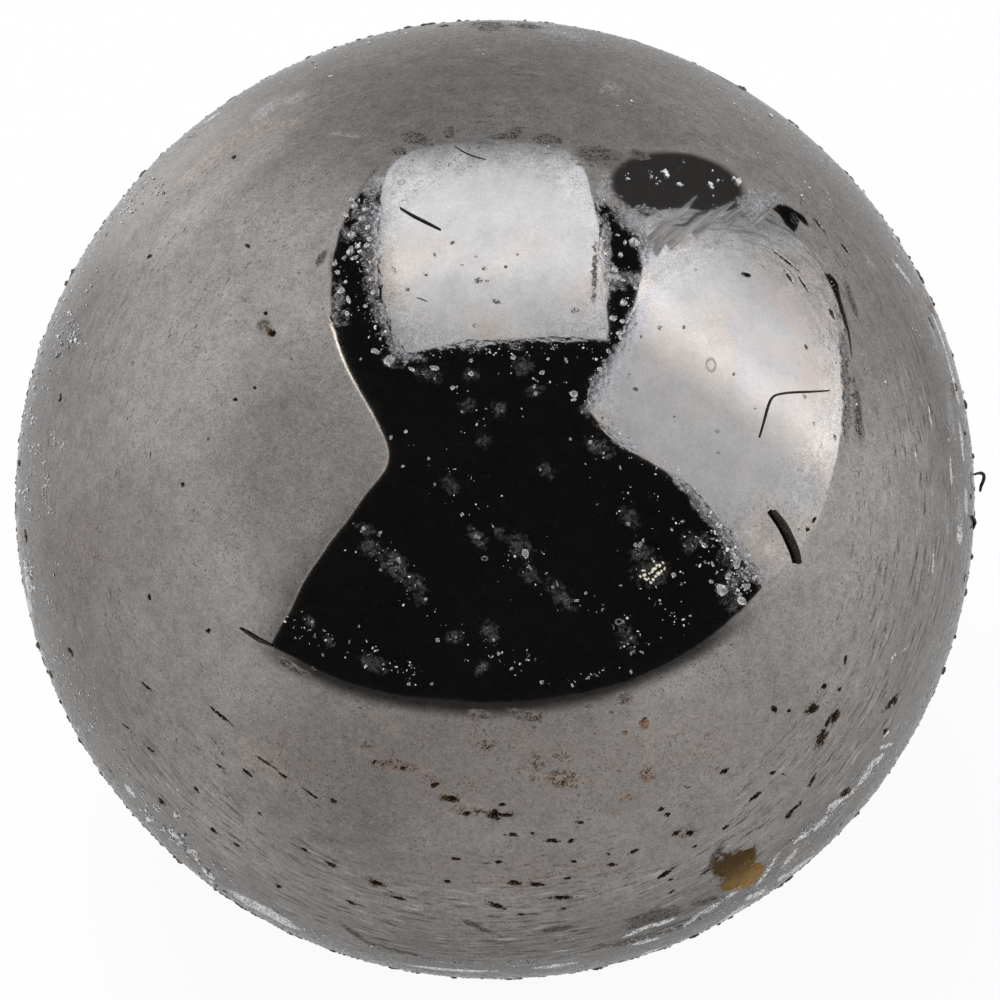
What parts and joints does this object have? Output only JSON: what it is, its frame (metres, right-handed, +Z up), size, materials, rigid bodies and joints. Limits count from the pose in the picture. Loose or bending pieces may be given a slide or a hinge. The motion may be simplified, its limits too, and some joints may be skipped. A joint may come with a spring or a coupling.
{
  "type": "steel ball",
  "caption": "Loose round steel ball with a polished, worn and pitted surface, for a bearing, valve, detent or tumbling mill.",
  "frame": {"origin": "centre of the ball", "axes": "+Z up, -Y towards the worn and pitted side; the ball is round about every axis, apart from its pits"},
  "size_m": [0.0064, 0.0064, 0.0064],
  "materials": {
    "steel": "polished"
  },
  "bodies": {
    "root": {"ball": "steel"}
  },
  "joints": []
}
